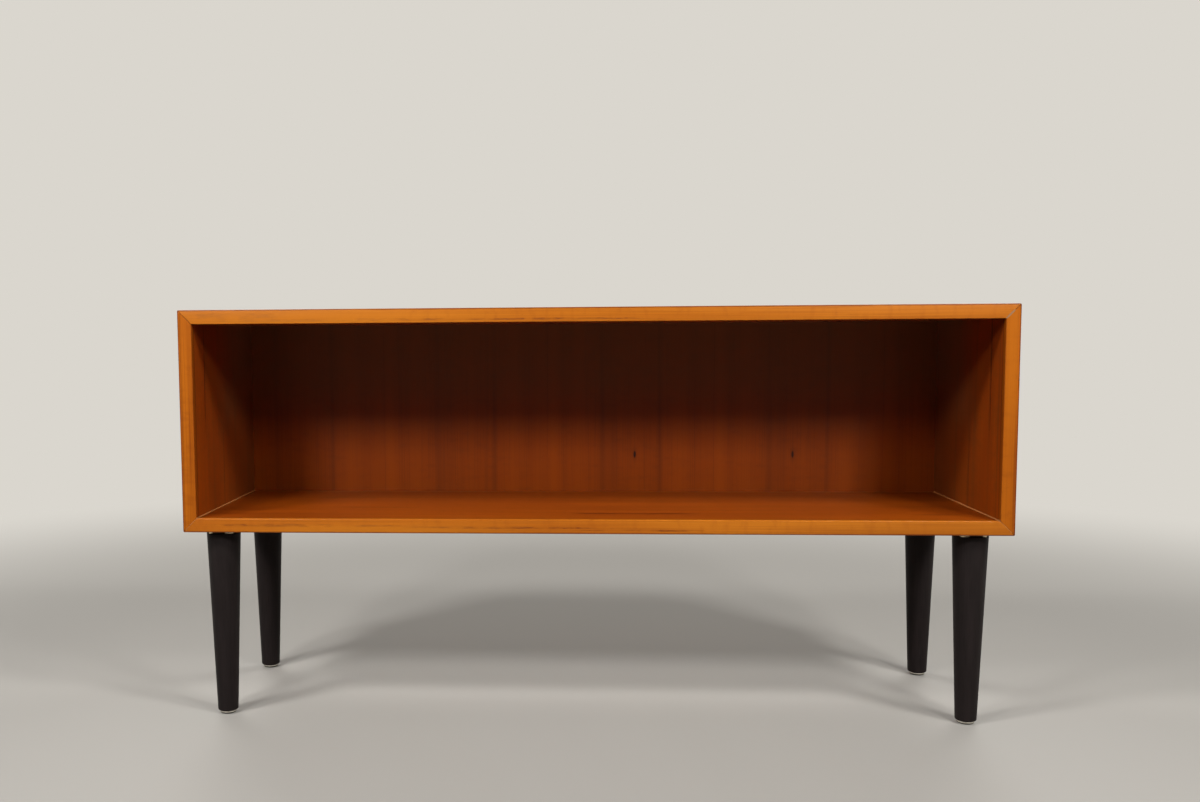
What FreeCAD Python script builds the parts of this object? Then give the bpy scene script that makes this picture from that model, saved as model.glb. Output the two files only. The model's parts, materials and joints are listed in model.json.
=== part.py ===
import FreeCAD, Part
import math
import os

# Open lowboard: a mitred case of veneered boards with solid teak lippings along its front edges,
# a veneered back panel in a rebate, and four turned, tapered legs screwed to plates under the case.
# Millimetres. The origin is on the floor below the middle of the case, +Z is up, the open front
# faces -Y, and left and right are as seen from the front.

Vector = FreeCAD.Vector

# Case
case_width = 1100.0
case_depth = 300.0
case_height = 300.0
board_thickness = 19.0
veneer_thickness = 0.8
lipping_depth = 8.0
arris_radius = 0.8
corner_radius = 1.5

# Back panel: it lies against the shoulder of a rebate cut round the rear edges of the boards
rebate_width = 9.0
rebate_depth = 12.0
back_thickness = 8.0
back_edge_clearance = 0.5
leaf_width = 257.5
leaf_joint_from_middle = 195.0
narrowest_leaf = 20.0

# Screws of the back panel
back_screw_diameter = 3.0
back_screw_head = 6.0
back_screw_length = 18.0
back_screw_end_inset = 50.0
back_screws_per_long_edge = 5
back_screws_per_short_edge = 2

# Loose tongues glued into the mitred corners
tongue_thickness = 4.0
tongue_width = 12.0
tongue_from_outer_face = 11.0
tongue_end_inset = 10.0
tongue_edge_clearance = 0.4

# Beads of filler along the inside lower corners
bead_size = 1.6

# Legs
leg_length = 251.0
leg_top_diameter = 46.0
leg_foot_diameter = 28.0
leg_top_round = 0.8
leg_foot_round = 2.5
leg_side_inset = 45.0
leg_front_inset = 36.0

# Square steel plates between the legs and the case
plate_side = 34.0
plate_thickness = 5.0
plate_corner_radius = 4.0
plate_screw_offset = 11.5
plate_screw_diameter = 3.5
plate_screw_head = 7.0
plate_screw_length = 15.0

# Hanger bolts: a pointed wood thread in the leg, a machine thread through the plate
bolt_diameter = 8.0
bolt_length_in_leg = 35.0
bolt_length_above_plate = 8.0
bolt_point_length = 6.0
bolt_hole_clearance = 0.5

# Nail-on glides under the legs
glide_diameter = 23.0
glide_height = 4.0
glide_edge_round = 2.4
nail_diameter = 2.4
nail_length = 15.0
nail_point_length = 3.0

# Fits and details shared by the screws, bolts and nails
fit_gap = 0.05
screw_recess = 0.2
screw_point_length = 3.0
slot_width = 0.8
slot_depth = 0.7

# Levels and faces that the sizes above give
leg_foot_z = glide_height
plate_z = leg_foot_z + leg_length
case_bottom = plate_z + plate_thickness
case_top = case_bottom + case_height
case_middle = (case_bottom + case_top) / 2
front = -case_depth / 2
rear = case_depth / 2
lipping_rear = front + lipping_depth
shoulder = rear - rebate_depth
back_rear = shoulder + back_thickness
core_outer = veneer_thickness
core_inner = board_thickness - veneer_thickness
opening_half_width = case_width / 2 - board_thickness
opening_bottom = case_bottom + board_thickness
opening_top = case_top - board_thickness

# Each board: its length, the middle of its outer face, the way it runs and the way into the case
boards = {
    "top": (case_width, Vector(0, 0, case_top), Vector(1, 0, 0), Vector(0, 0, -1)),
    "bottom": (case_width, Vector(0, 0, case_bottom), Vector(1, 0, 0), Vector(0, 0, 1)),
    "left": (case_height, Vector(-case_width / 2, 0, case_middle), Vector(0, 0, 1), Vector(1, 0, 0)),
    "right": (case_height, Vector(case_width / 2, 0, case_middle), Vector(0, 0, 1), Vector(-1, 0, 0)),
}

# Each mitred corner: -1 for the left or the bottom, 1 for the right or the top
mitres = {
    "bottom_left": (-1, -1),
    "bottom_right": (1, -1),
    "top_left": (-1, 1),
    "top_right": (1, 1),
}

# Each leg: its name and where its axis meets the floor
leg_axis_x = case_width / 2 - leg_side_inset
leg_axis_y = case_depth / 2 - leg_front_inset
leg_places = {
    "front_left": Vector(-leg_axis_x, -leg_axis_y, 0),
    "front_right": Vector(leg_axis_x, -leg_axis_y, 0),
    "rear_left": Vector(-leg_axis_x, leg_axis_y, 0),
    "rear_right": Vector(leg_axis_x, leg_axis_y, 0),
}


def prism(corners, direction):
    outline = Part.makePolygon(corners + corners[:1])
    return Part.Face(outline).extrude(direction)


def turned(outline):
    # Turns a closed outline of (radius, height) points about the Z axis
    points = [Vector(radius, 0, height) for radius, height in outline]
    face = Part.Face(Part.makePolygon(points + points[:1]))
    return face.revolve(Vector(0, 0, 0), Vector(0, 0, 1), 360)


def placed(shape, position, direction):
    turn = FreeCAD.Rotation(Vector(0, 0, 1), direction)
    moved = shape.copy()
    moved.Placement = FreeCAD.Placement(position, turn)
    return moved


def edges_along(shape, direction):
    straight = [edge for edge in shape.Edges if isinstance(edge.Curve, Part.Line)]
    return [edge for edge in straight if abs(edge.Curve.Direction.dot(direction)) > 0.999]


def evenly(first, last, count):
    step = (last - first) / (count - 1)
    return [first + step * index for index in range(count)]


def box_between(low, high):
    size = high - low
    return Part.makeBox(size.x, size.y, size.z, low)


def save(node, pieces):
    solids = [solid for piece in pieces for solid in piece.Solids]
    shape = solids[0] if len(solids) == 1 else Part.makeCompound(solids)
    shape.exportStep(os.path.join("parts", node + ".step"))
    volume = sum(solid.Volume for solid in solids)
    print(f"{node}: {len(solids)} solid(s), {volume / 1000:.3f} cm3, valid {shape.isValid()}")


# Case boards

def mitred_layer(board, outer, inner, start, end):
    # The layer between two distances from the board's outer face, mitred at both ends
    length, middle, along, inward = boards[board]
    corners = []
    for depth, side in ((outer, -1), (outer, 1), (inner, 1), (inner, -1)):
        reach = along * (side * (length / 2 - depth))
        corners.append(middle + reach + inward * depth + Vector(0, start, 0))
    return prism(corners, Vector(0, end - start, 0))


def softened_case():
    # The outside of the case, with its four outer corners eased
    low = Vector(-case_width / 2, front, case_bottom)
    high = Vector(case_width / 2, rear, case_top)
    block = box_between(low, high)
    return block.makeFillet(corner_radius, edges_along(block, Vector(0, 1, 0)))


def lipping(board, outside):
    # A solid strip with both front edges eased, mitred where it meets its neighbours
    length, middle, along, inward = boards[board]
    start = middle - along * (length / 2)

    def at(depth, y):
        return start + inward * depth + Vector(0, y, 0)

    bulge = arris_radius * (1 - math.sqrt(0.5))
    inner = board_thickness
    section = [
        Part.LineSegment(at(0, lipping_rear), at(0, front + arris_radius)),
        Part.Arc(at(0, front + arris_radius), at(bulge, front + bulge), at(arris_radius, front)),
        Part.LineSegment(at(arris_radius, front), at(inner - arris_radius, front)),
        Part.Arc(at(inner - arris_radius, front), at(inner - bulge, front + bulge),
                 at(inner, front + arris_radius)),
        Part.LineSegment(at(inner, front + arris_radius), at(inner, lipping_rear)),
        Part.LineSegment(at(inner, lipping_rear), at(0, lipping_rear)),
    ]
    wire = Part.Wire([curve.toShape() for curve in section])
    strip = Part.Face(wire).extrude(along * length)
    mitred = mitred_layer(board, 0, board_thickness, front, lipping_rear)
    return strip.common(mitred).common(outside)


def rebate():
    reach = opening_half_width + rebate_width
    low = Vector(-reach, shoulder, opening_bottom - rebate_width)
    high = Vector(reach, rear, opening_top + rebate_width)
    return box_between(low, high)


def tongue(side, level, edge_room):
    # A strip across one mitre, with some room at its two long edges
    inset = tongue_from_outer_face
    middle_x = side * (case_width / 2 - inset)
    middle_z = case_middle + level * (case_height / 2 - inset)
    start = Vector(middle_x, lipping_rear + tongue_end_inset, middle_z)
    along_mitre = Vector(-side, 0, -level).normalize() * (tongue_thickness / 2)
    across_mitre = Vector(-side, 0, level).normalize() * (tongue_width / 2 + edge_room)
    corners = [
        start - along_mitre - across_mitre,
        start + along_mitre - across_mitre,
        start + along_mitre + across_mitre,
        start - along_mitre + across_mitre,
    ]
    length = shoulder - lipping_rear - 2 * tongue_end_inset
    return prism(corners, Vector(0, length, 0))


def filler_bead(side):
    corner = Vector(side * opening_half_width, front + arris_radius, opening_bottom)
    corners = [
        corner,
        corner + Vector(-side * bead_size, 0, 0),
        corner + Vector(0, 0, bead_size),
    ]
    return prism(corners, Vector(0, shoulder - front - arris_radius, 0))


# Countersunk screws

def screw(diameter, head, length):
    # A slotted screw that is driven along +Z, with its head's face at the origin
    head_depth = (head - diameter) / 2
    body = turned([
        (0, 0),
        (head / 2, 0),
        (diameter / 2, head_depth),
        (diameter / 2, length - screw_point_length),
        (0, length),
    ])
    low = Vector(-head, -slot_width / 2, 0)
    high = Vector(head, slot_width / 2, slot_depth)
    return body.cut(box_between(low, high))


def screw_hole(diameter, head, length):
    # Room for the screw, open above its sunken head
    head_depth = (head - diameter) / 2
    return turned([
        (0, -screw_recess),
        (head / 2 + fit_gap, -screw_recess),
        (head / 2 + fit_gap, 0),
        (diameter / 2 + fit_gap, head_depth),
        (diameter / 2 + fit_gap, length - screw_point_length),
        (0, length + fit_gap),
    ])


def back_screw_positions():
    y = back_rear - screw_recess
    reach_x = opening_half_width + rebate_width / 2
    low_z = opening_bottom - rebate_width / 2
    high_z = opening_top + rebate_width / 2
    positions = []
    inset = back_screw_end_inset
    for x in evenly(-reach_x + inset, reach_x - inset, back_screws_per_long_edge):
        positions += [Vector(x, y, low_z), Vector(x, y, high_z)]
    for z in evenly(low_z + inset, high_z - inset, back_screws_per_short_edge):
        positions += [Vector(-reach_x, y, z), Vector(reach_x, y, z)]
    return positions


def plate_screw_positions(place):
    z = plate_z + screw_recess
    positions = []
    for side_x in (-plate_screw_offset, plate_screw_offset):
        for side_y in (-plate_screw_offset, plate_screw_offset):
            positions.append(Vector(place.x + side_x, place.y + side_y, z))
    return positions


# Back panel

def back_layer(left, right, start, end):
    low = Vector(left, start, opening_bottom - rebate_width + back_edge_clearance)
    high = Vector(right, end, opening_top + rebate_width - back_edge_clearance)
    return box_between(low, high)


def leaf_edges(reach):
    # The veneer leaves keep one width from joint to joint, and the end ones are trimmed
    joint = leaf_joint_from_middle
    while joint - leaf_width > -reach + narrowest_leaf:
        joint -= leaf_width
    edges = [-reach]
    while joint < reach - narrowest_leaf:
        edges.append(joint)
        joint += leaf_width
    return edges + [reach]


# Legs, plates, bolts and glides, each on the leg's own axis at the origin

def leg():
    shaft = Part.makeCone(leg_foot_diameter / 2, leg_top_diameter / 2, leg_length, Vector(0, 0, leg_foot_z))
    circles = [edge for edge in shaft.Edges if isinstance(edge.Curve, Part.Circle)]
    foot_edges = [edge for edge in circles if edge.CenterOfMass.z < leg_foot_z + leg_length / 2]
    shaft = shaft.makeFillet(leg_foot_round, foot_edges)
    circles = [edge for edge in shaft.Edges if isinstance(edge.Curve, Part.Circle)]
    top_edges = [edge for edge in circles if edge.CenterOfMass.z > plate_z - fit_gap]
    shaft = shaft.makeFillet(leg_top_round, top_edges)
    bolt_room = bolt(bolt_diameter / 2 + fit_gap, fit_gap)
    nail_room = glide_nail(nail_diameter / 2 + fit_gap, fit_gap)
    return shaft.cut(bolt_room).cut(nail_room)


def bolt(radius, end_room):
    tip = plate_z - bolt_length_in_leg
    return turned([
        (0, tip - end_room),
        (radius, tip + bolt_point_length),
        (radius, case_bottom + bolt_length_above_plate),
        (0, case_bottom + bolt_length_above_plate),
    ])


def bolt_hole_in_board():
    radius = bolt_diameter / 2 + bolt_hole_clearance
    height = bolt_length_above_plate + bolt_hole_clearance
    return Part.makeCylinder(radius, height, Vector(0, 0, case_bottom))


def plate():
    low = Vector(-plate_side / 2, -plate_side / 2, plate_z)
    high = Vector(plate_side / 2, plate_side / 2, case_bottom)
    block = box_between(low, high)
    return block.makeFillet(plate_corner_radius, edges_along(block, Vector(0, 0, 1)))


def glide_nail(radius, end_room):
    tip = glide_height + nail_length
    return turned([
        (0, glide_height),
        (radius, glide_height),
        (radius, tip - nail_point_length),
        (0, tip + end_room),
    ])


def glide():
    disc = Part.makeCylinder(glide_diameter / 2, glide_height)
    floor_edges = [edge for edge in disc.Edges if abs(edge.CenterOfMass.z) < fit_gap]
    rounded = disc.makeFillet(glide_edge_round, [edge for edge in floor_edges if edge.Closed])
    return rounded.fuse(glide_nail(nail_diameter / 2, 0)).removeSplitter()


os.makedirs("parts", exist_ok=True)

back_screw = screw(back_screw_diameter, back_screw_head, back_screw_length)
back_screw_room = screw_hole(back_screw_diameter, back_screw_head, back_screw_length)
forward = Vector(0, -1, 0)
back_holes = [placed(back_screw_room, position, forward) for position in back_screw_positions()]

plate_screw = screw(plate_screw_diameter, plate_screw_head, plate_screw_length)
plate_screw_room = screw_hole(plate_screw_diameter, plate_screw_head, plate_screw_length)
upward = Vector(0, 0, 1)
underside_holes = []
for place in leg_places.values():
    underside_holes.append(bolt_hole_in_board().translate(place))
    for position in plate_screw_positions(place):
        underside_holes.append(placed(plate_screw_room, position, upward))

# Case
outside = softened_case()
grooves = [tongue(side, level, tongue_edge_clearance) for side, level in mitres.values()]
for board in boards:
    core = mitred_layer(board, core_outer, core_inner, lipping_rear, rear).common(outside)
    core = core.cut([rebate()] + grooves + back_holes)
    outer_veneer = mitred_layer(board, 0, core_outer, lipping_rear, rear).common(outside)
    if board == "bottom":
        core = core.cut(underside_holes)
        outer_veneer = outer_veneer.cut(underside_holes)
    save(f"{board}_core", [core])
    save(f"{board}_lipping", [lipping(board, outside)])
    save(f"{board}_outer_veneer", [outer_veneer])
    save(f"{board}_inner_veneer", [mitred_layer(board, core_inner, board_thickness, lipping_rear, shoulder)])
for corner, (side, level) in mitres.items():
    save(f"{corner}_tongue", [tongue(side, level, 0)])
save("left_filler_bead", [filler_bead(-1)])
save("right_filler_bead", [filler_bead(1)])

# Back panel
back_reach = opening_half_width + rebate_width - back_edge_clearance
board_front = shoulder + veneer_thickness
board_rear = back_rear - veneer_thickness
save("back_board", [back_layer(-back_reach, back_reach, board_front, board_rear).cut(back_holes)])
save("back_rear_veneer", [back_layer(-back_reach, back_reach, board_rear, back_rear).cut(back_holes)])
edges = leaf_edges(back_reach)
for number, (left, right) in enumerate(zip(edges, edges[1:]), 1):
    save(f"back_veneer_leaf_{number}", [back_layer(left, right, shoulder, board_front).cut(back_holes)])
save("back_screws", [placed(back_screw, position, forward) for position in back_screw_positions()])

# Legs
for name, place in leg_places.items():
    plate_holes = [placed(plate_screw_room, position, upward) for position in plate_screw_positions(place)]
    bolt_room = bolt(bolt_diameter / 2 + fit_gap, fit_gap).translate(place)
    save(f"{name}_leg", [leg().translate(place)])
    save(f"{name}_plate", [plate().translate(place).cut(plate_holes + [bolt_room])])
    save(f"{name}_plate_screws",
         [placed(plate_screw, position, upward) for position in plate_screw_positions(place)])
    save(f"{name}_hanger_bolt", [bolt(bolt_diameter / 2, 0).translate(place)])
    save(f"{name}_glide", [glide().translate(place)])
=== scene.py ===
import bpy
import bmesh
import json
import math
from mathutils import Matrix, Vector, noise


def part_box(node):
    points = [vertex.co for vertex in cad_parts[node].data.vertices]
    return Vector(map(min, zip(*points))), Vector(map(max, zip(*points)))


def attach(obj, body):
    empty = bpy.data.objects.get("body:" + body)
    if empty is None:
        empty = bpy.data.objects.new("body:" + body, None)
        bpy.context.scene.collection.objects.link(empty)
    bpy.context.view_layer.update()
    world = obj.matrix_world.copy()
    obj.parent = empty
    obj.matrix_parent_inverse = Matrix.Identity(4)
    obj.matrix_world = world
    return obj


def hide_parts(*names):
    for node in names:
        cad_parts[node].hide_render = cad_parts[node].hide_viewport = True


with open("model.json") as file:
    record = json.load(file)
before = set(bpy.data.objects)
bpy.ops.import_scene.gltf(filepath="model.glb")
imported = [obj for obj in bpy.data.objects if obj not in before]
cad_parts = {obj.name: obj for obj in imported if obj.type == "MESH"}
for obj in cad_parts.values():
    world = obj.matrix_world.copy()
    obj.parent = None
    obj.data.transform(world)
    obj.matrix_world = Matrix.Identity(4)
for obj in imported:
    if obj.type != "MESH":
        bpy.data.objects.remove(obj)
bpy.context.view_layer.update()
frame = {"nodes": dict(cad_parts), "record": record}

# An open teak lowboard: mitred veneered case, solid lippings, slip matched back, black turned legs.
# Metres. The open front faces -Y; left and right are as seen from the front.

MM = 0.001
case_low = Vector((*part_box("left_lipping")[0].xy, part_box("bottom_lipping")[0].z))
case_high = Vector((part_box("right_lipping")[1].x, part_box("top_core")[1].y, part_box("top_lipping")[1].z))
case_width = case_high.x - case_low.x
case_height = case_high.z - case_low.z
case_middle = (case_low.z + case_high.z) / 2
front = case_low.y
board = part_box("bottom_lipping")[1].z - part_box("bottom_lipping")[0].z
lipping_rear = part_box("bottom_lipping")[1].y
back_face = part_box("back_veneer_leaf_1")[0].y
opening_right = case_high.x - board
opening_bottom = case_low.z + board
opening_top = case_high.z - board

# Details finer than the frame holds
# The lippings' faces lie a little back, so that the filler on them stays inside the frame's box
lipping_face = front + 0.05 * MM
arris = 0.9 * MM
arris_wear = 0.15 * MM
outer_corner = 2.2 * MM
mitre_groove = 0.35 * MM
mitre_line = 0.3 * MM
mitre_shade = 0.9 * MM
glue_line = 1.5 * MM
glue_shade = 2.5 * MM
bead_size = 1.2 * MM
bead_start = 0.6 * MM
edge_shade_width = 1.6 * MM
edge_shade_depth = 1.4 * MM
edge_shade_sway = 1.2 * MM
filler_sink = 0.02 * MM
leg_foot_radius = 14.0 * MM
leg_foot_round = 2.5 * MM
leg_top_round = 0.8 * MM
leg_steps = 8
plate_corner = 4.0 * MM
plate_edge = 0.2 * MM
nail_radius = 1.2 * MM
nail_point = 3.0 * MM
nail_tip = 0.1 * MM
glide_round = 2.4 * MM
glide_edge = 0.2 * MM


# Mesh helpers

def new_piece(name, points, faces, material, slot, *nodes, sharp=40):
    """Makes a closed piece, smooth up to the angle sharp in degrees, in place of the nodes that are named."""
    mesh = bpy.data.meshes.new(name)
    mesh.from_pydata(points, [], faces)
    shell = bmesh.new()
    shell.from_mesh(mesh)
    bmesh.ops.recalc_face_normals(shell, faces=shell.faces)
    shell.to_mesh(mesh)
    shell.free()
    mesh.polygons.foreach_set("use_smooth", [True] * len(mesh.polygons))
    mesh.set_sharp_from_angle(angle=math.radians(sharp))
    mesh.materials.append(material)
    piece = bpy.data.objects.new(name, mesh)
    bpy.context.scene.collection.objects.link(piece)
    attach(piece, "root")
    if nodes:
        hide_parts(*nodes)
    return piece


def skin(rings):
    """Points and faces that join rings of equal length one after another, with both ends closed."""
    count = len(rings[0])
    points = [point for ring in rings for point in ring]
    faces = []
    for start in range(0, (len(rings) - 1) * count, count):
        for step in range(count):
            following = (step + 1) % count
            faces.append((start + step, start + following, start + count + following, start + count + step))
    last = (len(rings) - 1) * count
    faces.append(tuple(reversed(range(count))))
    faces.append(tuple(range(last, last + count)))
    return points, faces


def quarter(across, up, radius, start, steps=5):
    """Points of a quarter circle round a centre, from the angle start, in degrees, onwards."""
    angles = [math.radians(start + 90 * step / steps) for step in range(steps + 1)]
    return [(across + radius * math.cos(a), up + radius * math.sin(a)) for a in angles]


def turned(profile, axis, segments=96):
    """A turned piece from its (radius, height) profile, round an upright axis."""
    angles = [2 * math.pi * step / segments for step in range(segments)]
    rings = []
    for radius, height in profile:
        rings.append([Vector((axis.x + radius * math.cos(a), axis.y + radius * math.sin(a), height)) for a in angles])
    return skin(rings)


# Material helpers

def linear(code):
    """An sRGB hex colour as linear red, green, blue and alpha."""
    parts = [int(code[index:index + 2], 16) / 255 for index in (1, 3, 5)]
    return [p / 12.92 if p <= 0.04045 else ((p + 0.055) / 1.055) ** 2.4 for p in parts] + [1.0]


def put(tree, kind, inputs, out=None, **settings):
    """Adds a node with its settings, values and links, and returns one output: out, or the first in use."""
    node = tree.nodes.new("ShaderNode" + kind)
    for name, value in settings.items():
        setattr(node, name, value)
    for socket, value in inputs.items():
        if isinstance(value, bpy.types.NodeSocket):
            tree.links.new(value, node.inputs[socket])
        else:
            node.inputs[socket].default_value = value
    if out:
        return node.outputs[out]
    return next((socket for socket in node.outputs if socket.enabled), None)


def new_material(name):
    """An empty material and its node tree."""
    material = bpy.data.materials.new(name)
    material.use_nodes = True
    material.node_tree.nodes.clear()
    return material, material.node_tree


def grain_place(tree, order):
    """The place on a piece in millimetres: along the grain, across the face, into the wood, as order names the axes."""
    place = put(tree, "VectorMath", {0: put(tree, "TexCoord", {}, out="Object"), "Scale": 1000}, operation="SCALE")
    apart = put(tree, "SeparateXYZ", {"Vector": place}).node.outputs
    return put(tree, "CombineXYZ", {"X": apart[order[0]], "Y": apart[order[1]], "Z": apart[order[2]]})


def streaks(tree, place, length, width, seed, detail=2.0):
    """Marks drawn out along the grain, their length and width in millimetres, from 0 to 1."""
    stretched = put(tree, "VectorMath", {0: place, 1: (1 / length, 1 / width, 1 / width),
                                         2: (seed * 3.7, seed * 11.3, seed * 5.9)}, operation="MULTIPLY_ADD")
    return put(tree, "TexNoise", {"Vector": stretched, "Scale": 1.0, "Detail": detail})


def spot(tree, place, along, across, length, width):
    """An oval mark on a face, 1 at its middle and 0 from its half length and half width on, in millimetres."""
    away = put(tree, "VectorMath", {0: place, 1: (1 / length, 1 / width, 0),
                                    2: (-along / length, -across / width, 0)}, operation="MULTIPLY_ADD")
    distance = put(tree, "VectorMath", {0: away}, operation="LENGTH")
    return put(tree, "MapRange", {"Value": distance, "From Min": 1.0, "From Max": 0.0})


def stain(tree, colour, tint, pattern, low, high, most):
    """Colours a surface with a tint, from none where the pattern is low to the share most where it is high."""
    share = put(tree, "MapRange", {"Value": pattern, "From Min": low, "From Max": high, "To Max": most},
                interpolation_type="SMOOTHSTEP")
    return put(tree, "Mix", {0: share, 6: colour, 7: tint}, data_type="RGBA")


def wood_surface(tree, colour, height, depth, roughness, specular):
    """Closes a wood material: its colour, the relief of its pores and lines to a depth in metres, and its sheen."""
    normal = put(tree, "Bump", {"Height": height, "Distance": depth})
    dulled = put(tree, "MapRange", {"Value": height, "To Min": roughness + 0.08, "To Max": roughness - 0.05})
    shader = put(tree, "BsdfPrincipled", {"Base Color": colour, "Roughness": dulled, "IOR": 1.5,
                                          "Specular IOR Level": specular, "Normal": normal})
    put(tree, "OutputMaterial", {"Surface": shader})


def teak_figure(tree, place, tones, seed, bands, pores, mottle=0.2, porous=()):
    """The colour and relief of straight teak: slow drift, growth bands, fine lines, mottle, and pores in loose rows.

    Real pores are about 0.3 mm by 4 mm: they are drawn at 0.35 mm by 9 mm, so that they show. The rows are darker and
    broken. porous gives more places for them, as ovals on the face.
    """
    pale, middle, deep, pore = [linear(code) for code in tones]
    pit_start, pit_full = 0.84, 0.9
    lines = streaks(tree, place, 160, 1.6, seed + 3)
    pore_marks = streaks(tree, place, 9, 0.35, seed + 5, detail=0.0)
    row = put(tree, "MapRange", {"Value": streaks(tree, place, 300, 3, seed + 4), "From Min": 0.66, "From Max": 0.84})
    for along, across, length, width in porous:
        strip = put(tree, "MapRange", {"Value": spot(tree, place, along, across, length, width), "From Max": 0.4})
        row = put(tree, "Math", {0: row, 1: strip}, operation="MAXIMUM")
    broken = put(tree, "MapRange", {"Value": streaks(tree, place, 26, 6, seed + 7), "From Min": 0.4, "From Max": 0.6,
                                    "To Min": 0.2})
    row = put(tree, "Math", {0: row, 1: broken}, operation="MULTIPLY")
    colour = stain(tree, middle, pale, streaks(tree, place, 420, 55, seed), 0.36, 0.64, bands * 1.5)
    colour = stain(tree, colour, deep, streaks(tree, place, 600, 13, seed + 1, detail=3.0), 0.5, 0.76, bands)
    colour = stain(tree, colour, pale, streaks(tree, place, 380, 5, seed + 2), 0.52, 0.76, bands * 0.8)
    colour = stain(tree, colour, deep, lines, 0.44, 0.72, 0.4)
    colour = stain(tree, colour, deep, streaks(tree, place, 10, 24, seed + 6), 0.48, 0.72, mottle)
    colour = stain(tree, colour, pore, row, 0.0, 1.0, pores * 0.55)
    pits = put(tree, "Math", {0: row, 1: 0.3, 2: pore_marks}, operation="MULTIPLY_ADD")
    colour = stain(tree, colour, pore, pits, pit_start, pit_full, pores)
    flat = put(tree, "MapRange", {"Value": pits, "From Min": pit_start, "From Max": pit_full, "To Min": 0.8,
                                  "To Max": 0.0})
    height = put(tree, "Math", {0: lines, 1: 0.3, 2: flat}, operation="MULTIPLY_ADD")
    return colour, height


# Materials

# Each teak: pale, middle and deep wood, and the colour of its pores and streaks. In the veneers the deep tone also
# tints their painted shade towards the rear; the sides' deep tone is browner for it.
rail_tones = ("#cd791a", "#b8630f", "#9a4a0a", "#6c2908")
stile_tones = ("#c26b10", "#b05b0c", "#944608", "#6e2a08")
outer_tones = ("#bb6c22", "#a95a16", "#84400d", "#5a2a0b")
floor_tones = ("#a44b08", "#974206", "#762f05", "#481504")
side_tones = ("#a44808", "#953e08", "#6e3c18", "#481a08")
back_tones = ("#984205", "#8a3a04", "#6c2e0c", "#421a0a")


def oiled_teak_lipping(name, order, tones, seed, mottle, sheen, pale_places, dark_places, porous=()):
    """Solid teak, planed, sanded and oiled: honey brown, satin, with painted shade darker and redder at the outer edge.

    The mitres between the lippings show as fine dark lines.
    """
    material, tree = new_material(name)
    place = grain_place(tree, order)
    colour, height = teak_figure(tree, place, tones, seed, bands=0.4, pores=0.85, mottle=mottle, porous=porous)
    for along, across, length, width in pale_places:
        colour = stain(tree, colour, linear(tones[0]), spot(tree, place, along, across, length, width), 0.0, 0.8, 0.6)
    for along, across, length, width in dark_places:
        colour = stain(tree, colour, linear(tones[3]), spot(tree, place, along, across, length, width), 0.0, 0.8, 0.5)
    apart = put(tree, "SeparateXYZ", {"Vector": put(tree, "TexCoord", {}, out="Object")}).node.outputs
    sideways = put(tree, "Math", {0: apart["X"]}, operation="ABSOLUTE")
    upright = put(tree, "Math", {0: apart["Z"], 1: -case_middle}, operation="ADD")
    upright = put(tree, "Math", {0: upright}, operation="ABSOLUTE")
    upright = put(tree, "Math", {0: upright, 1: (case_width - case_height) / 2}, operation="ADD")
    outward = put(tree, "Math", {0: sideways, 1: upright}, operation="MAXIMUM")
    # Painted shade: a darker, redder line along the outer edges, where the rounded arris turns from the light
    painted_edge_shade = put(tree, "Math", {0: streaks(tree, place, 30, 4, seed + 8), 1: edge_shade_sway, 2: outward},
                  operation="MULTIPLY_ADD")
    painted_edge_shade = put(tree, "Math", {0: painted_edge_shade, 1: case_width / 2 - edge_shade_width}, operation="SUBTRACT")
    near_front = put(tree, "Math", {0: lipping_face + edge_shade_depth, 1: apart["Y"]}, operation="SUBTRACT")
    painted_edge_shade = put(tree, "Math", {0: painted_edge_shade, 1: near_front}, operation="MINIMUM")
    colour = stain(tree, colour, linear("#6a2a08"), painted_edge_shade, 0.0, edge_shade_depth, 0.75)
    from_mitre = put(tree, "Math", {0: sideways, 1: upright}, operation="SUBTRACT")
    from_mitre = put(tree, "Math", {0: from_mitre}, operation="ABSOLUTE")
    colour = stain(tree, colour, linear("#5a260a"), from_mitre, mitre_shade, mitre_line, 0.75)
    wood_surface(tree, colour, height, depth=0.05 * MM, roughness=0.42, specular=sheen)
    return material


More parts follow.
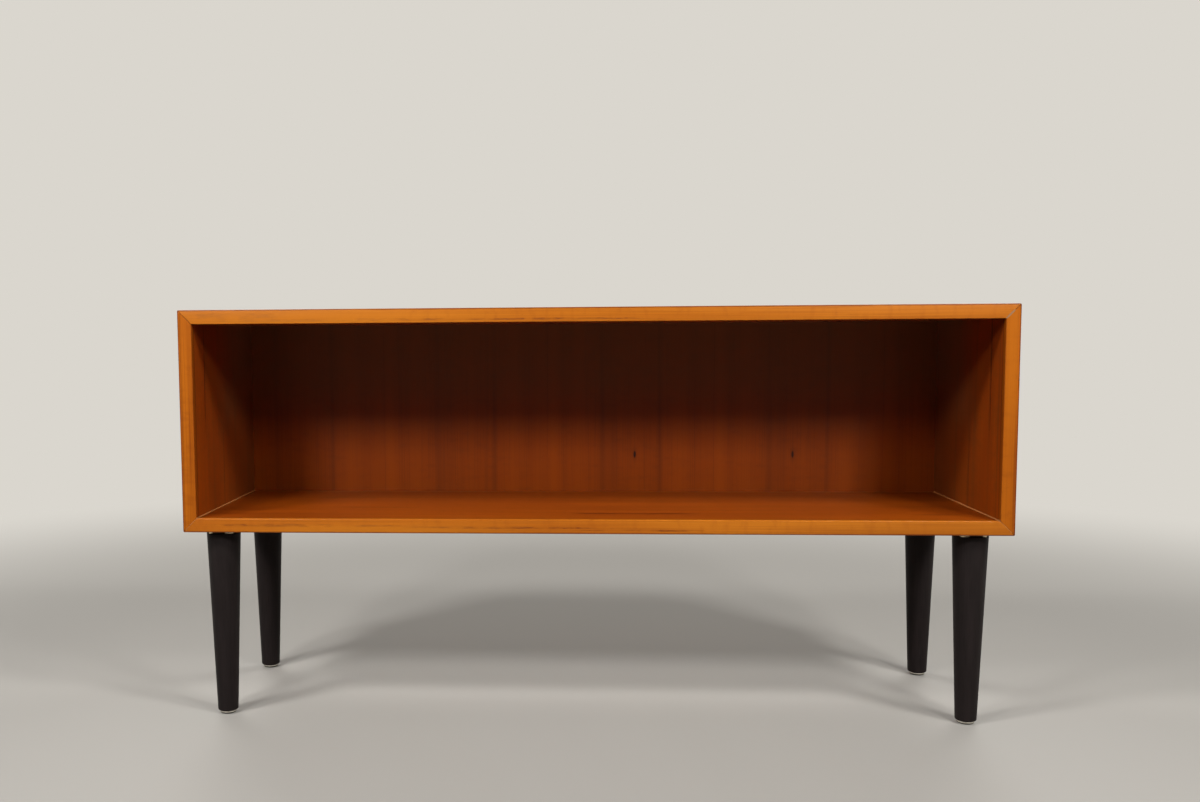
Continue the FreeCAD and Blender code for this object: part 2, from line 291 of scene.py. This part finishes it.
def teak_veneer(name, order, tones, seed, marks, painted_depth_shade):
    """Sliced teak veneer, straight in the grain and oiled: red brown, with fine lines and a few dark streaks.

    Further in from the open front it is darker, by a share given for each board: painted shade. High up at the
    rear it is painted a duller brown: painted shade in the deep corner.
    """
    material, tree = new_material(name)
    place = grain_place(tree, order)
    colour, height = teak_figure(tree, place, tones, seed, bands=0.65, pores=0.35)
    sway = 5.0
    wander = put(tree, "CombineXYZ", {"Y": streaks(tree, place, 70, 60, seed + 9)})
    wandering = put(tree, "VectorMath", {0: wander, 1: (0, sway, 0), 2: place}, operation="MULTIPLY_ADD")
    fine_lines = streaks(tree, place, 140, 1.3, seed + 10)
    for along, across, length, width in marks:
        mark = spot(tree, wandering, along, across + sway / 2, length, width)
        mark = put(tree, "Math", {0: mark, 1: fine_lines}, operation="MULTIPLY")
        colour = stain(tree, colour, linear(tones[3]), mark, 0.02, 0.25, 0.85)
    apart = put(tree, "SeparateXYZ", {"Vector": put(tree, "TexCoord", {}, out="Object")}).node.outputs
    # Painted shade: darker towards the rear of the case, by the board's share
    colour = stain(tree, colour, linear(tones[2]), apart["Y"], front, back_face, painted_depth_shade)
    # Painted shade: a duller brown high up at the rear, in the case's shadowed upper rear corner
    rearward = put(tree, "MapRange", {"Value": apart["Y"], "From Min": front, "From Max": back_face})
    upward = put(tree, "MapRange", {"Value": apart["Z"], "From Min": opening_bottom, "From Max": opening_top})
    painted_corner_shade = put(tree, "Math", {0: rearward, 1: upward}, operation="MINIMUM")
    colour = stain(tree, colour, linear("#7a6242"), painted_corner_shade, 0.3, 0.8, 0.55)
    colour = stain(tree, colour, linear(tones[3]), apart["Y"], lipping_rear + glue_shade, lipping_rear + glue_line, 0.7)
    wood_surface(tree, colour, height, depth=0.04 * MM, roughness=0.42, specular=0.25)
    return material


def crown_cut_teak(name, order, heart, seed):
    """Crown cut teak veneer: long pointed arches of growth rings down the middle, straight lines beside them."""
    material, tree = new_material(name)
    place = grain_place(tree, order)
    apart = put(tree, "SeparateXYZ", {"Vector": place}).node.outputs
    sway = 70.0
    pith_depth = 30.0
    taper = -0.045
    wander = put(tree, "Math", {0: streaks(tree, place, 420, 160, seed), 1: sway, 2: apart["Y"]},
                 operation="MULTIPLY_ADD")
    offset = put(tree, "Math", {0: wander, 1: -sway / 2 - heart}, operation="ADD")
    radius = put(tree, "VectorMath", {0: put(tree, "CombineXYZ", {"X": offset, "Y": pith_depth})}, operation="LENGTH")
    ragged = put(tree, "Math", {0: streaks(tree, place, 60, 9, seed + 1), 1: 5.0, 2: radius}, operation="MULTIPLY_ADD")
    rings = put(tree, "Math", {0: apart["X"], 1: taper, 2: ragged}, operation="MULTIPLY_ADD")
    growth = put(tree, "TexNoise", {"W": rings, "Scale": 0.14, "Detail": 3.0}, noise_dimensions="1D")
    colour, height = teak_figure(tree, place, outer_tones, seed + 2, bands=0.5, pores=0.5)
    colour = stain(tree, colour, linear(outer_tones[2]), growth, 0.5, 0.72, 0.75)
    colour = stain(tree, colour, linear(outer_tones[0]), growth, 0.45, 0.3, 0.5)
    wood_surface(tree, colour, height, depth=0.04 * MM, roughness=0.5, specular=0.25)
    return material


# Across each leaf of the back, from its left edge in millimetres: bands of other colour with their half widths and
# shares, and two pin knots, placed by x and z
leaf_bands = ((9, 16, back_tones[0], 0.8), (50, 20, back_tones[0], 0.4), (85, 8, back_tones[3], 0.2),
              (92, 28, back_tones[2], 0.25), (138, 14, back_tones[0], 0.25), (174, 6, back_tones[3], 0.26),
              (204, 22, back_tones[0], 0.45), (247, 22, back_tones[0], 0.5))
pin_knots = ((73, 337), (316, 337))


def slip_matched_back(name):
    """Teak veneer in upright leaves laid side by side, each with the figure of the one before, slightly changed.

    Towards the top it is painted duller and browner: painted shade where the top board's shadow falls.
    """
    material, tree = new_material(name)
    deep, dark = [linear(code) for code in back_tones[2:]]
    leaf_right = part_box("back_veneer_leaf_2")[1].x / MM
    leaf_width = leaf_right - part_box("back_veneer_leaf_2")[0].x / MM
    place = grain_place(tree, "ZXY")
    apart = put(tree, "SeparateXYZ", {"Vector": place}).node.outputs
    count = put(tree, "Math", {0: put(tree, "Math", {0: apart["Y"], 1: -leaf_right}, operation="ADD"), 1: leaf_width},
                operation="DIVIDE")
    leaf = put(tree, "Math", {0: count}, operation="FLOOR")
    share = put(tree, "Math", {0: count}, operation="FRACT")
    within = put(tree, "Math", {0: share, 1: leaf_width}, operation="MULTIPLY")
    changed = put(tree, "Math", {0: leaf, 1: 2.0}, operation="MULTIPLY")
    slipped = put(tree, "CombineXYZ", {"X": apart["X"], "Y": within, "Z": changed})
    colour, height = teak_figure(tree, slipped, back_tones, seed=40, bands=0.2, pores=0.2)
    sway = 6.0
    wandering = put(tree, "Math", {0: streaks(tree, slipped, 260, 80, 47), 1: sway, 2: within},
                    operation="MULTIPLY_ADD")
    upright = put(tree, "CombineXYZ", {"Y": wandering})
    for across, width, tint, most in leaf_bands:
        band = spot(tree, upright, 0, across + sway / 2, 1, width)
        colour = stain(tree, colour, linear(tint), band, 0.0, 1.0, most)
    floor_level = opening_bottom / MM
    # Painted shade: duller and browner from just under the top board's shadow line upwards
    painted_shade_from, painted_shade_full = floor_level + 70, floor_level + 190
    colour = stain(tree, colour, linear("#6c4a28"), apart["X"], painted_shade_from, painted_shade_full, 0.6)
    joint_half = 0.4
    joint = put(tree, "Math", {0: within, 1: leaf_width / 2, 2: leaf_width / 2 - joint_half}, operation="COMPARE")
    colour = stain(tree, colour, dark, joint, 1.0, 0.0, 0.2)
    for across, up in pin_knots:
        swirl = spot(tree, place, up, across, 20, 6)
        eye = spot(tree, place, up, across, 7, 2.3)
        colour = stain(tree, colour, deep, swirl, 0.0, 0.9, 0.5)
        colour = stain(tree, colour, linear("#1a0703"), eye, 0.0, 0.5, 0.95)
    wood_surface(tree, colour, height, depth=0.04 * MM, roughness=0.45, specular=0.18)
    return material


def pine_blockboard(name, order, seed):
    """Sawn pine strips in the boards' cores: pale straw with soft orange lines, rough from the saw."""
    material, tree = new_material(name)
    place = grain_place(tree, order)
    lines = streaks(tree, place, 300, 2.2, seed)
    colour = stain(tree, linear("#d9bd8c"), linear("#c09a62"), lines, 0.42, 0.68, 0.9)
    colour = stain(tree, colour, linear("#b98d57"), streaks(tree, place, 90, 24, seed + 1), 0.5, 0.72, 0.5)
    wood_surface(tree, colour, lines, depth=0.08 * MM, roughness=0.7, specular=0.3)
    return material


def birch_plywood(name):
    """Peeled birch plies: pale cream, with a line at each glue layer where the edge shows."""
    material, tree = new_material(name)
    place = grain_place(tree, "ZXY")
    plies = put(tree, "SeparateXYZ", {"Vector": place}).node.outputs["Z"]
    layer = put(tree, "Math", {0: plies, 1: 1.6}, operation="PINGPONG")
    fibres = streaks(tree, place, 60, 1.4, 61)
    colour = stain(tree, linear("#d8c3a0"), linear("#c2a67c"), fibres, 0.42, 0.7, 0.8)
    colour = stain(tree, colour, linear("#8a6844"), layer, 0.3, 0.0, 0.7)
    wood_surface(tree, colour, fibres, depth=0.06 * MM, roughness=0.7, specular=0.3)
    return material


def gaboon_veneer(name):
    """Peeled gaboon backing veneer, sanded and left bare: salmon brown, matt, with short pores and a soft ribbon."""
    material, tree = new_material(name)
    place = grain_place(tree, "XZY")
    pores = streaks(tree, place, 14, 1.0, 71, detail=0.0)
    ribbon = streaks(tree, place, 420, 26, 72, detail=3.0)
    colour = stain(tree, linear("#c69a77"), linear("#ad7c5a"), ribbon, 0.4, 0.66, 0.9)
    colour = stain(tree, colour, linear("#d4ad8c"), streaks(tree, place, 160, 7, 73), 0.5, 0.75, 0.6)
    colour = stain(tree, colour, linear("#7c5238"), pores, 0.64, 0.74, 0.55)
    height = put(tree, "MapRange", {"Value": pores, "From Min": 0.6, "From Max": 0.75, "To Min": 1.0, "To Max": 0.0})
    wood_surface(tree, colour, height, depth=0.06 * MM, roughness=0.68, specular=0.3)
    return material


def wood_filler(name, tint):
    """Filler paste, pressed in and wiped: paler than the teak, matt, slightly lumpy, with a little wood dust in it."""
    material, tree = new_material(name)
    place = grain_place(tree, "YXZ")
    lumps = streaks(tree, place, 5, 1.2, 81, detail=3.0)
    colour = stain(tree, linear(tint), linear("#a5683c"), lumps, 0.45, 0.75, 0.7)
    wood_surface(tree, colour, lumps, depth=0.12 * MM, roughness=0.75, specular=0.3)
    return material


def black_lacquered_beech(name):
    """Turned beech sprayed with black satin lacquer: faint upright grain under the film, dull scuffs near the foot."""
    material, tree = new_material(name)
    place = grain_place(tree, "ZXY")
    grain = streaks(tree, place, 60, 1.3, 91)
    peel = streaks(tree, place, 3, 3, 92, detail=1.0)
    colour = stain(tree, linear("#241e1d"), linear("#2a2322"), streaks(tree, place, 90, 9, 93), 0.4, 0.7, 0.8)
    colour = stain(tree, colour, linear("#181413"), grain, 0.5, 0.72, 0.5)
    low = put(tree, "SeparateXYZ", {"Vector": place}).node.outputs["X"]
    scuff_top, scuff_low = 14.0, 3.0
    scuff = put(tree, "MapRange", {"Value": low, "From Min": scuff_top, "From Max": scuff_low, "To Max": 0.2})
    scuff = put(tree, "Math", {0: streaks(tree, place, 6, 2.5, 94, detail=4.0), 1: scuff}, operation="ADD")
    colour = stain(tree, colour, linear("#5a4a3e"), scuff, 0.78, 0.88, 0.5)
    height = put(tree, "Math", {0: grain, 1: 0.5, 2: peel}, operation="MULTIPLY_ADD")
    wood_surface(tree, colour, height, depth=0.02 * MM, roughness=0.55, specular=0.1)
    return material


def plated_steel(name, shine, dull, roughness, seed, near_black_places=()):
    """Pressed steel with a plating: silvery or a little yellow, with a faint cloud and fine scratches that blur it.

    Below 2.5 mm above the floor it is painted near black: painted contact shadow where it meets the floor. Its last
    argument gives places, left and right alike, where it is painted near black as well.
    """
    material, tree = new_material(name)
    place = grain_place(tree, "XYZ")
    cloud = streaks(tree, place, 7, 7, seed, detail=3.0)
    scratches = streaks(tree, place, 14, 0.25, seed + 1)
    colour = stain(tree, linear(shine), linear(dull), cloud, 0.4, 0.7, 0.8)
    apart = put(tree, "SeparateXYZ", {"Vector": place}).node.outputs
    # Painted contact shadow: near black below 2.5 mm above the floor
    contact_shade_top, contact_shade_low = 2.5, 1.6
    colour = stain(tree, colour, linear("#1d1a17"), apart["Z"], contact_shade_top, contact_shade_low, 0.92)
    sideways = put(tree, "Math", {0: apart["X"]}, operation="ABSOLUTE")
    mirrored = put(tree, "CombineXYZ", {"X": sideways, "Y": apart["Y"]})
    # Painted near black at the given places, left and right alike
    for along, across, length, width in near_black_places:
        near_black_patch = spot(tree, mirrored, along, across, length, width)
        colour = stain(tree, colour, linear("#241e1d"), near_black_patch, 0.0, 0.3, 0.95)
    blur = put(tree, "MapRange", {"Value": scratches, "From Min": 0.3, "From Max": 0.7, "To Min": roughness - 0.07,
                                  "To Max": roughness + 0.1})
    normal = put(tree, "Bump", {"Height": scratches, "Distance": 0.01 * MM})
    shader = put(tree, "BsdfPrincipled", {"Base Color": colour, "Metallic": 1.0, "Roughness": blur, "Normal": normal})
    put(tree, "OutputMaterial", {"Surface": shader})
    return material


# Marks on the faces, in millimetres: place along and across the grain, half length, half width
rail_pores = ((-480, 551, 90, 6), (-340, 545.5, 240, 2.4), (-40, 545, 160, 1.6),
              (-380, 270, 170, 2.6), (-120, 268, 160, 2), (90, 265, 130, 1.6))
rail_pale = ((-400, 551, 330, 40), (-300, 262, 290, 16))
rail_dark = ((430, 228, 330, 60),)
rail_teak = oiled_teak_lipping("oiled_teak_rails", "XZY", rail_tones, seed=1, mottle=0.2, sheen=0.25,
                               pale_places=rail_pale, dark_places=rail_dark, porous=rail_pores)
stile_pale = ((500, 540, 160, 12),)
stile_dark = ((410, -531, 400, 1.8), (410, -547, 400, 1.5), (380, -537, 90, 1.2),
              (410, 531, 400, 1.5), (330, 547, 120, 3))
stile_teak = oiled_teak_lipping("oiled_teak_stiles", "ZXY", stile_tones, seed=11, mottle=0.35, sheen=0.15,
                                pale_places=stile_pale, dark_places=stile_dark)
floor_marks = ((14, -93, 45, 4.4), (60, -93, 110, 2.8), (105, -94, 60, 4), (465, -95, 42, 3.6), (-300, -40, 90, 2))
floor_veneer = teak_veneer("sliced_teak_floor", "XYZ", floor_tones, seed=21, marks=floor_marks, painted_depth_shade=0.15)
ceiling_veneer = teak_veneer("sliced_teak_ceiling", "XYZ", floor_tones, seed=25, marks=(), painted_depth_shade=0.15)
side_marks = ((480, -100, 130, 2.5), (330, -20, 90, 2))
side_veneer = teak_veneer("sliced_teak_sides", "ZYX", side_tones, seed=31, marks=side_marks, painted_depth_shade=0.6)
across_crown = crown_cut_teak("crown_cut_teak_across", "XYZ", heart=10, seed=101)
upright_crown = crown_cut_teak("crown_cut_teak_upright", "ZYX", heart=-15, seed=111)
back_leaves = slip_matched_back("slip_matched_teak")
across_core = pine_blockboard("pine_strips_across", "XYZ", seed=51)
upright_core = pine_blockboard("pine_strips_upright", "ZYX", seed=56)
plies = birch_plywood("birch_plywood")
backing = gaboon_veneer("gaboon_veneer")
pale_filler = wood_filler("pale_wood_filler", "#c98548")
grey_filler = wood_filler("grey_wood_filler", "#967250")
black_lacquer = black_lacquered_beech("black_lacquered_beech")
# The middle of each fixing plate's front edge, between its corners, painted near black
plate_near_black_places = ((507, -131, 10.5, 8),)
zinc = plated_steel("zinc_plated_steel", "#f0e2c4", "#dccba6", roughness=0.5, seed=121, near_black_places=plate_near_black_places)
nickel = plated_steel("nickel_plated_steel", "#dcd7cc", "#c4beb1", roughness=0.2, seed=131)

inner_finish = {"top": ceiling_veneer, "bottom": floor_veneer, "left": side_veneer, "right": side_veneer}
across_finish = {"solid_teak": rail_teak, "teak_veneer": across_crown, "blockboard": across_core}
upright_finish = {"solid_teak": stile_teak, "teak_veneer": upright_crown, "blockboard": upright_core}
other_finish = {"back_veneer": back_leaves, "plywood": plies, "gaboon_veneer": backing, "wood_filler": pale_filler,
                "black_lacquered_beech": black_lacquer, "zinc_plated_steel": zinc, "nickel_plated_steel": nickel}

for entry in frame["record"]["subparts"]:
    node_name = entry["node"]
    slot_name = entry["material_slot"]
    lies_across = node_name.startswith(("top", "bottom"))
    if node_name.endswith("inner_veneer"):
        finish = inner_finish[node_name.split("_")[0]]
    elif slot_name in across_finish:
        finish = (across_finish if lies_across else upright_finish)[slot_name]
    else:
        finish = other_finish[slot_name]
    for material_slot in frame["nodes"][node_name].material_slots:
        material_slot.material = finish


# Pieces

def lipping(side, length, place, material):
    """A front lipping with worn arrises, mitred ends, rounded case corners and a fine groove along each mitre.

    place turns a point along the lipping, its depth inwards from the outer face, and its y, into a point of the case.
    """
    def section(along):
        radius = arris + arris_wear * noise.noise(Vector((along * 30, length, 0.3)))
        outer = quarter(radius, lipping_face + radius, radius, 180)
        inner = quarter(board - radius, lipping_face + radius, radius, 270)
        return [(0, lipping_rear)] + outer + inner + [(board, lipping_rear)]

    def mitre_ring(end, degrees):
        angle = math.radians(degrees)
        short = outer_corner * (math.cos(angle) - math.sin(angle))
        least = outer_corner * (1 - math.cos(angle))
        ring = []
        for depth, y in section(end * length / 2):
            depth = max(depth, least)
            if degrees == 45 and y < lipping_rear:
                y += mitre_groove
            ring.append(place(end * (length / 2 - depth - short), depth, y))
        return ring

    corner_steps = (45, 34, 18, 0)
    corner_clear = 3 * MM
    straight = length / 2 - board - corner_clear
    stations = 48
    rings = [mitre_ring(-1, degrees) for degrees in corner_steps]
    for step in range(stations + 1):
        along = straight * (2 * step / stations - 1)
        rings.append([place(along, depth, y) for depth, y in section(along)])
    rings += [mitre_ring(1, degrees) for degrees in reversed(corner_steps)]
    node = side + "_lipping"
    new_piece(side + "_front_lipping", *skin(rings), material, "solid_teak", node)


lipping("top", case_width, lambda u, d, y: Vector((u, y, case_high.z - d)), rail_teak)
lipping("bottom", case_width, lambda u, d, y: Vector((u, y, case_low.z + d)), rail_teak)
lipping("left", case_height, lambda u, d, y: Vector((case_low.x + d, y, case_middle + u)), stile_teak)
lipping("right", case_height, lambda u, d, y: Vector((case_high.x - d, y, case_middle + u)), stile_teak)


def filler_bead(side, sign):
    """The line of filler that was wiped into an inside lower corner: hollow, and uneven in width."""
    stations = 90
    corner = [(-0.3, -0.3), (1, -0.3), (1, 0.08), (0.55, 0.2), (0.33, 0.33), (0.2, 0.55), (0.08, 1), (-0.3, 1)]
    rings = []
    for step in range(stations + 1):
        y = front + bead_start + (back_face - front - bead_start) * step / stations
        swell = 0.3 * noise.noise(Vector((y * 45, sign, 0.2)))
        ripple = 0.2 * noise.noise(Vector((y * 160, sign, 3)))
        size = bead_size * (1 + swell + ripple)
        rings.append([Vector((sign * (opening_right - a * size), y, opening_bottom + b * size)) for a, b in corner])
    node = side + "_filler_bead"
    new_piece(side + "_corner_filler", *skin(rings), pale_filler, "wood_filler", node)


filler_bead("left", -1)
filler_bead("right", 1)


def mitre_filler(name, sign, corner_z, inward, start, end, width, proud, material):
    """A thread of filler in a front mitre, from one depth to another, with a ragged width."""
    stations = 30
    rings = []
    for step in range(stations + 1):
        depth = start + (end - start) * step / stations
        middle = Vector((sign * (case_width / 2 - depth), 0, corner_z + inward * depth))
        across = Vector((sign, 0, inward)).normalized()
        fade = math.sin(math.pi * (step + 0.5) / (stations + 1)) ** 0.4
        half = width / 2 * fade * (1 + 0.6 * noise.noise(Vector((depth * 900, sign, corner_z * 9))))
        rings.append([middle + across * half + Vector((0, lipping_face + filler_sink - proud / 3, 0)),
                      middle + Vector((0, lipping_face + filler_sink - proud, 0)),
                      middle - across * half + Vector((0, lipping_face + filler_sink - proud / 3, 0)),
                      middle + Vector((0, lipping_face + mitre_groove, 0))])
    new_piece(name, *skin(rings), material, "wood_filler")


for side, sign in (("left", -1), ("right", 1)):
    mitre_filler(side + "_lower_mitre_filler", sign, case_low.z, 1, start=board - 0.3 * MM, end=3 * MM,
                 width=0.5 * MM, proud=0.02 * MM, material=pale_filler)
mitre_filler("right_upper_mitre_filler", 1, case_high.z, -1, start=board - 0.2 * MM, end=8 * MM,
             width=2.4 * MM, proud=0.06 * MM, material=grey_filler)


def leg_set(name):
    """A turned leg, its square plate under the case and its glide on the floor, nailed in."""
    low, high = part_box(name + "_leg")
    axis = (low + high) / 2
    foot = low.z
    top_radius = (high.x - low.x) / 2
    profile = quarter(leg_foot_radius - leg_foot_round, low.z + leg_foot_round, leg_foot_round, 270, 8)
    profile += [(leg_foot_radius + (top_radius - leg_foot_radius) * step / leg_steps,
                 low.z + leg_foot_round + (high.z - low.z - leg_foot_round - leg_top_round) * step / leg_steps)
                for step in range(1, leg_steps)]
    profile += quarter(top_radius - leg_top_round, high.z - leg_top_round, leg_top_round, 0, 4)
    new_piece(name + "_turned_leg", *turned(profile, axis), black_lacquer, "black_lacquered_beech", name + "_leg")

    low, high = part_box(name + "_plate")
    reach = (high.x - low.x) / 2 - plate_corner
    eased = plate_edge * 0.3
    rings = []
    for inset, z in ((plate_edge, low.z), (eased, low.z + eased), (0, low.z + plate_edge),
                     (0, high.z - plate_edge), (eased, high.z - eased), (plate_edge, high.z)):
        ring = []
        for start, across, up in ((0, reach, reach), (90, -reach, reach), (180, -reach, -reach), (270, reach, -reach)):
            ring += quarter(axis.x + across, axis.y + up, plate_corner - inset, start, 8)
        rings.append([Vector((x, y, z)) for x, y in ring])
    new_piece(name + "_fixing_plate", *skin(rings), zinc, "zinc_plated_steel", name + "_plate")

    low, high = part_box(name + "_glide")
    radius = (high.x - low.x) / 2
    profile = quarter(radius - glide_round, low.z + glide_round, glide_round, 270, 10)
    profile += quarter(radius - glide_edge, foot - glide_edge, glide_edge, 0, 3)
    profile += [(nail_radius, foot), (nail_radius, high.z - nail_point), (nail_tip, high.z)]
    new_piece(name + "_domed_glide", *turned(profile, axis, 64), nickel, "nickel_plated_steel", name + "_glide",
              sharp=20)


for name in ("front_left", "front_right", "rear_left", "rear_right"):
    leg_set(name)


# Stage

pale_studio = linear("#dad6ce")


def stage_floor():
    """A pale painted floor that keeps the shadow near the object and runs into the backdrop's colour further off."""
    reach = 12.0
    mesh = bpy.data.meshes.new("floor")
    corners = [(-reach, -reach, 0), (reach, -reach, 0), (reach, reach, 0), (-reach, reach, 0)]
    mesh.from_pydata(corners, [], [(0, 1, 2, 3)])
    floor = bpy.data.objects.new("floor", mesh)
    bpy.context.scene.collection.objects.link(floor)
    material, tree = new_material("pale_floor_paint")
    place = put(tree, "TexCoord", {}, out="Object")
    rays = put(tree, "LightPath", {}).node.outputs
    looked_at = put(tree, "Math", {0: rays["Is Camera Ray"], 1: rays["Is Glossy Ray"]}, operation="MAXIMUM")
    colour = put(tree, "Mix", {0: looked_at, 6: linear("#7a7772"), 7: linear("#b4b0a9")}, data_type="RGBA")
    paint = put(tree, "BsdfPrincipled", {"Base Color": colour, "Roughness": 0.6, "Specular IOR Level": 0.2})
    distance = put(tree, "VectorMath", {0: place}, operation="LENGTH")
    shadow_ends, backdrop_starts = 0.9, 2.4
    far = put(tree, "MapRange", {"Value": distance, "From Min": shadow_ends, "From Max": backdrop_starts},
              interpolation_type="SMOOTHSTEP")
    seen = put(tree, "Math", {0: far, 1: looked_at}, operation="MULTIPLY")
    above = put(tree, "MixShader", {0: seen, 1: paint, 2: put(tree, "Emission", {"Color": pale_studio})})
    below = put(tree, "NewGeometry", {}, out="Backfacing")
    both = put(tree, "MixShader", {0: below, 1: above, 2: put(tree, "BsdfTransparent", {})})
    put(tree, "OutputMaterial", {"Surface": both})
    mesh.materials.append(material)


def studio_world():
    """Dim light all round; the backdrop's pale colour for what the camera sees and what metal and lacquer reflect."""
    world = bpy.data.worlds.new("studio")
    bpy.context.scene.world = world
    world.use_nodes = True
    tree = world.node_tree
    tree.nodes.clear()
    dim_light = 0.03
    front_share = 0.22
    facing = put(tree, "SeparateXYZ", {"Vector": put(tree, "TexCoord", {}, out="Generated")}, out="Y")
    behind = put(tree, "MapRange", {"Value": facing, "From Min": -0.3, "From Max": 0.5, "To Min": front_share})
    rays = put(tree, "LightPath", {}).node.outputs
    mirrored = put(tree, "Math", {0: rays["Is Glossy Ray"], 1: rays["Is Transmission Ray"]}, operation="MAXIMUM")
    mirrored = put(tree, "Math", {0: mirrored, 1: behind}, operation="MULTIPLY")
    shown = put(tree, "Math", {0: mirrored, 1: rays["Is Camera Ray"]}, operation="MAXIMUM")
    strength = put(tree, "MapRange", {"Value": shown, "To Min": dim_light, "To Max": 1.0})
    put(tree, "OutputWorld", {"Surface": put(tree, "Background", {"Color": pale_studio, "Strength": strength})})


def softbox(name, place, aim, size, level, spread=180):
    """A square soft light, its beam as wide as spread in degrees.

    A level of 1 shows a colour about as written from a metre away.
    """
    data = bpy.data.lights.new(name, "AREA")
    data.size = size
    data.spread = math.radians(spread)
    data.energy = level * math.pi ** 2
    lamp = bpy.data.objects.new(name, data)
    bpy.context.scene.collection.objects.link(lamp)
    lamp.location = place
    lamp.rotation_euler = (Vector(place) - Vector(aim)).to_track_quat("Z", "Y").to_euler()
    lamp.visible_camera = False


def photo_camera():
    """The camera that the photograph was taken with, worked out in its frame of 1200 by 802 pixels."""
    frame_width = 1200
    frame_height = 802
    focal = 1171.4
    principal_x = 501.5
    principal_y = 431.7
    place = Vector((-0.01415, -1.69171, 0.52391))
    yaw = 0.06605
    pitch = -0.08225
    roll = 0.00669
    data = bpy.data.cameras.new("camera")
    data.sensor_fit = "HORIZONTAL"
    data.sensor_width = 36
    data.lens = focal * data.sensor_width / frame_width
    data.shift_x = (frame_width / 2 - principal_x) / frame_width
    data.shift_y = (principal_y - frame_height / 2) / frame_width
    camera = bpy.data.objects.new("camera", data)
    bpy.context.scene.collection.objects.link(camera)
    turn = (Matrix.Rotation(yaw, 4, "Z") @ Matrix.Rotation(pitch, 4, "X") @ Matrix.Rotation(roll, 4, "Y")
            @ Matrix.Rotation(math.pi / 2, 4, "X"))
    camera.matrix_world = Matrix.Translation(place) @ turn
    bpy.context.scene.camera = camera


stage_floor()
studio_world()
for side, sign, high_level in (("left", -1, 2.90), ("right", 1, 2.75)):
    softbox(side + "_front_light", place=(sign * 1.04, -1.55, 1.388), aim=(sign * 0.35, front, 0.45),
            size=0.30, level=0.32, spread=80)
    softbox(side + "_high_light", place=(sign * 1.51, -1.24, 1.98), aim=(0, 0, case_middle),
            size=0.40, level=high_level)
    softbox(side + "_rear_light", place=(sign * 1.30, 1.50, 2.30), aim=(0, 0, case_middle),
            size=1.00, level=2.00)
photo_camera()
bpy.context.scene.view_settings.view_transform = "Standard"
